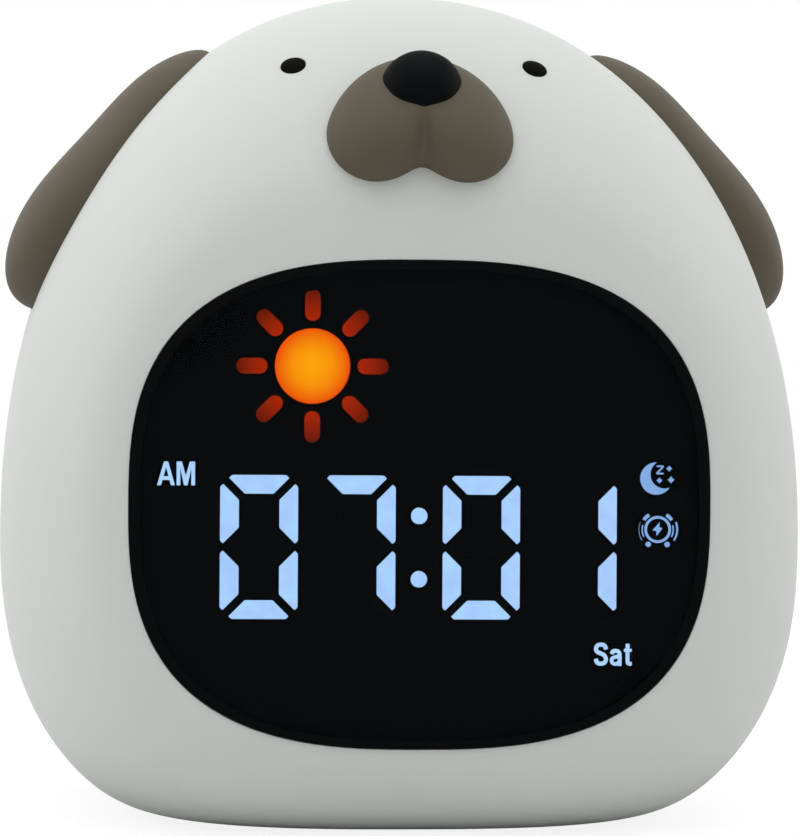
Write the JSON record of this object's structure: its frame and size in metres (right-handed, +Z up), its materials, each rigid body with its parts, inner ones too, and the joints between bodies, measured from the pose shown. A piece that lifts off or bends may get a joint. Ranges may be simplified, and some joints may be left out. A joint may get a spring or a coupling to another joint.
{
  "type": "alarm clock",
  "caption": "Dog-shaped silicone alarm clock and night light with a flush dark display, ears, muzzle and rear control panel.",
  "frame": {"origin": "middle of the base, on the table, centred across and front to back", "axes": "+Z up, -Y out of the display, +X to the right seen from the front"},
  "size_m": [0.119, 0.0858, 0.1228],
  "materials": {
    "white_silicone": "matte translucent silicone",
    "brown_silicone": "matte silicone",
    "black_silicone": "matte silicone",
    "black_gloss": "polished",
    "white_plastic": "fine matt moulding",
    "panel_plastic": "fine matt moulding",
    "smoked_lens": "smoked clear plastic, polished",
    "black_plastic": "matt",
    "tape": "adhesive foil",
    "blue_lit": "lit diffuser",
    "orange_lit": "lit diffuser",
    "orange_dim": "dim lit diffuser",
    "dark_guide": "unlit smoked diffuser",
    "circuit_green": "solder mask",
    "led_white": "chip package",
    "steel": "zinc plated",
    "brass": "machined",
    "grey_button": "matt",
    "dark_grey": "matt",
    "foot_rubber": "matte rubber",
    "battery_wrap": "shrink wrap",
    "cone_paper": "coated paper"
  },
  "bodies": {
    "clock": {"base_plate": "panel_plastic", "base_screws": "steel", "battery_cell": "battery_wrap", "board_standoffs": "brass", "display_board": "circuit_green", "display_leds": "led_white", "display_lens": "smoked_lens", "display_screws": "steel", "ear_left": "brown_silicone", "ear_right": "brown_silicone", "eye_left": "black_gloss", "eye_right": "black_gloss", "front_housing": "white_plastic", "housing_screws": "steel", "indicator_guides": "blue_lit", "lens_tape": "tape", "light_board": "circuit_green", "light_leds": "led_white", "light_screws": "steel", "lit_segments": "blue_lit", "main_board": "circuit_green", "main_board_screws": "steel", "muzzle": "brown_silicone", "nose": "black_silicone", "panel_screws": "steel", "rear_housing": "white_plastic", "rear_panel": "panel_plastic", "rubber_feet": "foot_rubber", "segment_mask": "black_plastic", "silicone_skin": "white_silicone", "slide_switch_body": "dark_grey", "speaker_cone": "cone_paper", "speaker_frame": "dark_grey", "speaker_grille": "dark_grey", "speaker_magnet": "steel", "sun_disc_guide": "orange_lit", "sun_ray_guides": "orange_dim", "tact_switches": "dark_grey", "touch_contact": "steel", "unlit_segments": "dark_guide", "usb_socket": "steel"},
    "button_set": {"button_set": "grey_button", "plunger_set": "black_gloss"},
    "button_up": {"button_up": "grey_button", "plunger_up": "black_gloss"},
    "button_down": {"button_down": "grey_button", "plunger_down": "black_gloss"},
    "button_alarm": {"button_alarm": "grey_button", "plunger_alarm": "black_gloss"},
    "button_light": {"button_light": "grey_button", "plunger_light": "black_gloss"},
    "switch_lever": {"switch_lever": "dark_grey"}
  },
  "joints": [
    {"name": "set_press", "type": "slide", "parent": "clock", "child": "button_set", "axis": [0, -1, 0], "range_m": [0, 0.0005], "stiffness_N_per_m": 1500},
    {"name": "up_press", "type": "slide", "parent": "clock", "child": "button_up", "axis": [0, -1, 0], "range_m": [0, 0.0005], "stiffness_N_per_m": 1500},
    {"name": "down_press", "type": "slide", "parent": "clock", "child": "button_down", "axis": [0, -1, 0], "range_m": [0, 0.0005], "stiffness_N_per_m": 1500},
    {"name": "alarm_press", "type": "slide", "parent": "clock", "child": "button_alarm", "axis": [0, -1, 0], "range_m": [0, 0.0005], "stiffness_N_per_m": 1500},
    {"name": "light_press", "type": "slide", "parent": "clock", "child": "button_light", "axis": [0, -1, 0], "range_m": [0, 0.0005], "stiffness_N_per_m": 1500},
    {"name": "power_slide", "type": "slide", "parent": "clock", "child": "switch_lever", "axis": [1, 0, 0], "range_m": [0, 0.003]}
  ]
}
